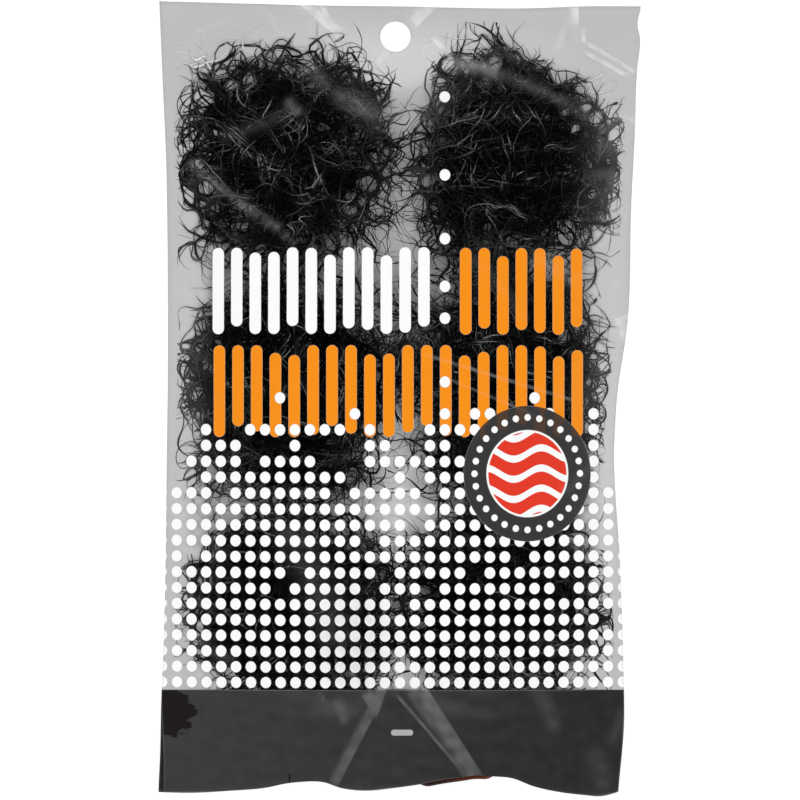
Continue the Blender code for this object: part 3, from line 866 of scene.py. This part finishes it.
# walks every strand on together: at each step the heading changes by a steady turn, three sine waves and
# now and then a kink; past the clump's hold it is drawn back a little, and past its own limit it ends
def strandPaths(draw, place, phases, strands):
    t = tangles
    family, loose, limit = strands["family"], strands["loose"], strands["limit"]
    x, y, heading = strands["x"], strands["y"], strands["heading"]
    count, rings = len(x), t["rings"]
    step = strands["length"] / (rings - 1)
    turn = kin(draw, family, loose, *t["turn"])
    waves = []  # size, length and start of each, shared by a family but for a little
    for span, size in t["waves"]:
        ownSize = kin(draw, family, loose, size * 0.8, size * 0.6)
        ownSpan = span * np.exp(kin(draw, family, loose, 0.15, 0.15))
        waves.append((ownSize, ownSpan, kin(draw, family, loose, 3, 0.6)))
    path, alive = [(x, y)], [np.ones(count, bool)]
    for ring in range(1, rings):
        bends = [size * np.sin(2 * np.pi * ring * step / span + start) for size, span, start in waves]
        kinked = draw.random(count) < t["kinks"]
        heading = heading + step * (turn + sum(bends)) + kinked * loose * draw.normal(0, t["kink"], count)
        inward = np.arctan2(place[1] - y, place[0] - x)
        pull = t["rimPull"] * smoothStep(t["rimPullFrom"], 1, clumpShare(place, phases, x, y))
        pull = pull + t["wallPull"] * (1 - smoothStep(0, t["wallPullFrom"], roomLeft(x, y)))
        pull = pull * np.where(limit > t["farHold"], t["farPull"], 1)
        heading = heading + pull * step * np.sin(inward - heading)
        x, y = x + step * np.cos(heading), y + step * np.sin(heading)
        path.append((x, y))
        alive.append(alive[-1] & (clumpShare(place, phases, x, y) < limit) & (roomLeft(x, y) > 0))
    x, y = np.array(path).transpose(1, 2, 0)
    last = np.sum(alive, axis=0) - 1
    return respread(x, last), respread(y, last), last * step > t["shortest"]


# open places in the rim, each an oval: what lies within reach of its middle is pushed out, from distance d
# to hole + d * (1 - hole / reach), so that the oval is clear and the strands crowd round it
def openRim(draw, place, phases, x, y):
    t = tangles
    for _ in range(t["openings"]):
        angle, share, turn = draw.uniform(0, 2 * np.pi), draw.uniform(*t["openAt"]), draw.uniform(0, np.pi)
        hole, slim = draw.uniform(*t["opening"]), draw.uniform(*t["openSlim"])
        reach = hole * t["openReach"]
        out = share * clumpEdge(place, phases, angle)
        fromX, fromY = x - place[0] - out * np.cos(angle), y - place[1] - out * np.sin(angle)
        longWay = fromX * np.cos(turn) + fromY * np.sin(turn)
        slimWay = (fromY * np.cos(turn) - fromX * np.sin(turn)) / slim
        distance = np.hypot(longWay, slimWay) + 1e-6
        grow = np.where(distance < reach, hole / distance - hole / reach, 0)
        newX, newY = x + fromX * grow, y + fromY * grow
        allowed = roomLeft(newX, newY) > 0
        x, y = np.where(allowed, newX, x), np.where(allowed, newY, y)
    return x, y


# half width along a strand, f from 0 to 1: it breathes as a sine and is thin at both ends; flyaways run out
# thin, some with a bud near the end
def strandWidth(draw, strands, f):
    t, count = tangles, len(strands["tint"])
    thin, thick = t["width"]
    width = thin + (thick - thin) * draw.random((count, 1)) ** 2
    width = width * np.where(strands["rim"], t["slimRim"], 1) * np.where(strands["pale"], t["slimPale"], 1)
    width = width * np.where(strands["tint"] > t["lightFrom"], t["slimLight"], 1)
    least, more = t["breath"]
    width = width * (least + more * np.sin(t["breathRate"] * f + draw.uniform(0, 6, (count, 1))))
    blunt = np.clip(np.minimum(f, 1 - f) * t["bluntness"] + t["bluntTip"], 0, 1)
    taper = np.clip((1 - f) * t["taper"] + t["taperTip"], 0, 1)
    bud = (draw.random((count, 1)) < t["buds"]) * np.exp(-(((f - t["budAt"]) / t["budLength"]) ** 2))
    return width * np.where(strands["flies"], taper + bud, blunt)


# height between the panels: its level runs from 0 just over the back to 1 just under the front, and wavers
# as a sine along the strand; the light strands lie on top
def strandHeight(draw, strands, x, y, f, width):
    t, count = tangles, len(x)
    level = draw.random(t["families"])[strands["family"]] + draw.normal(0, t["levelSpread"], (count, 1))
    fly, light, dark = [least + more * level for least, more in t["levels"]]
    level = np.where(strands["flies"], fly, np.where(strands["tint"] > t["lightFrom"], light, dark))
    along = f * draw.uniform(0.5, 2, (count, 1)) + draw.random((count, 1))
    level = level + t["levelWave"] * np.sin(2 * np.pi * along)
    low = backHeight(x, y) + packet["film"] + t["filmGap"] + width
    high = reliefHeight(x, y) - packet["film"] - t["filmGap"] - width
    return np.where(high > low, low + (high - low) * np.clip(level, 0, 1), (low + high) / 2)


# rings of points round each path: wide * cos + flat * sin about the path's tangent, turned slowly along it
def strandRings(draw, path, f):
    t, count = tangles, len(path)
    tangent = np.gradient(path, axis=1)
    tangent /= np.linalg.norm(tangent, axis=-1, keepdims=True) + 1e-9
    side = np.cross(tangent, [0, 0, 1])
    side /= np.linalg.norm(side, axis=-1, keepdims=True) + 1e-9
    rise = np.cross(side, tangent)
    twist = draw.uniform(0, 2 * np.pi, (count, 1)) + draw.normal(0, t["twist"], (count, 1)) * f
    across, upright = np.cos(twist)[..., None], np.sin(twist)[..., None]
    wideWay, thinWay = side * across + rise * upright, rise * across - side * upright
    corner = (np.arange(t["sides"]) * 2 * np.pi / t["sides"])[:, None]
    return np.cos(corner) * wideWay[:, :, None, :] + t["flatness"] * np.sin(corner) * thinWay[:, :, None, :]


# the tint varies along each strand as a sine, is darker in pools, the product of two sine waves over the
# clump, goes over to one tone towards the rim, and is painted lighter, as a highlight, where the strand
# faces up
def strandTint(draw, place, phases, strands, x, y, f, facing):
    t, count = tangles, len(x)
    pool = 1
    for turn in draw.uniform(0, 2 * np.pi, 2):
        span = draw.uniform(*t["poolSpan"])
        along = x * np.cos(turn) + y * np.sin(turn)
        pool = pool * np.sin(2 * np.pi * along / span + draw.uniform(0, 6))
    streaks = np.sin(f * draw.uniform(4, 13, (count, 1)) + draw.uniform(0, 6, (count, 1)))
    shade = strands["tint"] + t["streaky"] * streaks + t["pools"] * (pool - 0.3)
    strength, rimTone = t["rimTone"]
    nearRim = smoothStep(t["rimFrom"], 1, clumpShare(place, phases, x, y))
    shade = shade + strength * nearRim * (rimTone - shade)
    # painted highlight: lighter where the strand faces up
    shade = np.minimum(shade[..., None] + t["crestHighlight"] * facing, t["mostShade"])
    return np.clip(np.where(strands["pale"][..., None], 1, shade), 0, 1)


# one tangle: its strands' paths, given heights, and then three-sided tubes round them, so that one triangle
# closes each end
def tangleMesh(name, place, seed):
    draw = np.random.default_rng(seed)
    strands, phases = sowStrands(draw, place)
    x, y, longEnough = strandPaths(draw, place, phases, strands)
    x, y = openRim(draw, place, phases, x[longEnough], y[longEnough])
    strands = {key: values[longEnough, None] for key, values in strands.items()}
    count, rings, sides = len(x), tangles["rings"], tangles["sides"]
    f = np.linspace(0, 1, rings)[None, :]
    width = strandWidth(draw, strands, f)
    path = np.stack([x, y, strandHeight(draw, strands, x, y, f, width)], axis=-1)
    ring = strandRings(draw, path, f)
    points = path[:, :, None, :] + ring * width[:, :, None, None]
    number = np.arange(count * rings * sides).reshape(count, rings, sides)
    after = np.roll(number, -1, axis=2)
    walls = np.stack([number[:, :-1], number[:, 1:], after[:, 1:], after[:, :-1]], axis=-1).reshape(-1, 4)
    ends = np.concatenate([number[:, 0, :], number[:, -1, ::-1]])
    mesh = meshOf(name, points.reshape(-1, 3), walls, ends)
    addFloats(mesh, "tint", strandTint(draw, place, phases, strands, x, y, f, ring[..., 2]))
    return mesh


arameFinish = driedArame()
for number, (node, place) in enumerate(tangles["places"].items()):
    words = node.split("_")
    name = words[0] + words[1].title() + words[2].title()
    piece = addPiece(name, tangleMesh(name, place, tangles["seed"] + number), arameFinish)
    standFor(piece, node)
    print("tangle made:", name, len(piece.data.polygons), "faces")


# Studio: a pale floor, a broad lamp straight above, and a sky that is pale towards the horizon

studio = {
    "eye": (0.135, -0.27, 1505), "lens": 250,
    "lampSize": 1900, "lampHeight": 2000, "lampWatts": 48,
    "floorHalf": 4000, "floorHeight": -0.4, "floorGrey": (0.4, 0.4, 0.4, 1), "floorGlow": 0.72,
    "skyHorizon": 0.9, "skyOverhead": 0.03, "skyFadedAt": 0.55,
}


# a camera and a lamp look straight down as they are made, so they are only moved
def addAbove(name, data, x, y, z):
    holder = bpy.data.objects.new(name, data)
    holder.location = (x / 1000, y / 1000, z / 1000)
    bpy.context.scene.collection.objects.link(holder)
    return holder


def addCamera():
    lens = bpy.data.cameras.new("camera")
    lens.lens, lens.clip_start = studio["lens"], 0.01
    bpy.context.scene.camera = addAbove("camera", lens, *studio["eye"])


# a broad round lamp, which the film doesn't mirror
def addLamp():
    light = bpy.data.lights.new("overhead", "AREA")
    light.shape, light.size, light.energy = "DISK", studio["lampSize"] / 1000, studio["lampWatts"]
    light.cycles.use_multiple_importance_sampling = False
    addAbove("overhead", light, 0, 0, studio["lampHeight"]).visible_glossy = False


def addFloor():
    f = newFinish("paleFloor")
    half, z = studio["floorHalf"], studio["floorHeight"]
    points = np.array([(-half, -half, z), (half, -half, z), (half, half, z), (-half, half, z)], float)
    surface = f.principled(Base_Color=studio["floorGrey"], Roughness=0.9,
                           Emission_Color=(1, 1, 1, 1), Emission_Strength=studio["floorGlow"])
    addPiece("floor", meshOf("floor", points, np.array([[0, 1, 2, 3]])), f.output(surface))


# sky: dim overhead, where the film would mirror it, and pale towards the horizon
def addSky():
    sky = bpy.data.worlds.new("studioSky")
    bpy.context.scene.world = sky
    f = Finish(sky)
    height = f.coordinates("Generated", 1)[2]
    strength = f.fade(height, 0, studio["skyFadedAt"], studio["skyHorizon"], studio["skyOverhead"])
    glow = f.node("ShaderNodeBackground", None, {"Color": (1, 1, 1, 1), "Strength": strength})
    f.output(glow, "ShaderNodeOutputWorld")


addCamera()
addFloor()
addSky()
addLamp()
bpy.context.scene.view_settings.view_transform = "Standard"
print("studio made")
